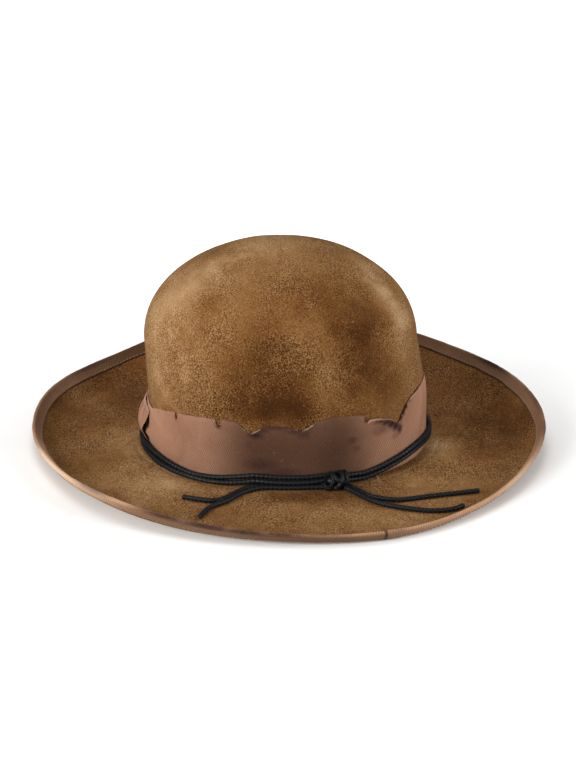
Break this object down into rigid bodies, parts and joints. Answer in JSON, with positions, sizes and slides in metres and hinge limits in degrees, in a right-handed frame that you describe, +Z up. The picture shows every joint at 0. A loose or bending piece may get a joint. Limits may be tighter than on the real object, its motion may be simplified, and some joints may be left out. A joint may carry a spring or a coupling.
{
  "type": "wide-brim felt hat",
  "caption": "Felt hat with a round uncreased crown, a wide brim rolled up and bound with ribbon at the edge, a torn ribbon band and a knotted waxed cord with loose ends.",
  "frame": {"origin": "middle of the hat's outline seen from above, on the surface that the brim rests on", "axes": "+Z up through the crown, -Y towards the wearer's front, +X towards the wearer's left, where the knot is"},
  "size_m": [0.3489, 0.3801, 0.1552],
  "materials": {
    "felt": "brushed felt, mottled tan and brown",
    "binding_ribbon": "ribbed ribbon, reddish brown",
    "band_ribbon": "ribbed ribbon, dusty pink brown, scorched and torn",
    "waxed_cord": "black waxed braid, satin"
  },
  "bodies": {
    "root": {"felt_body": "felt", "brim_binding": "binding_ribbon", "hat_band": "band_ribbon", "cord_knot": "waxed_cord", "cord_wrap_lower": "waxed_cord", "cord_wrap_upper": "waxed_cord", "tail_right_lower": "waxed_cord", "tail_right_upper": "waxed_cord", "tail_left_lower": "waxed_cord", "tail_left_upper": "waxed_cord"}
  },
  "joints": []
}
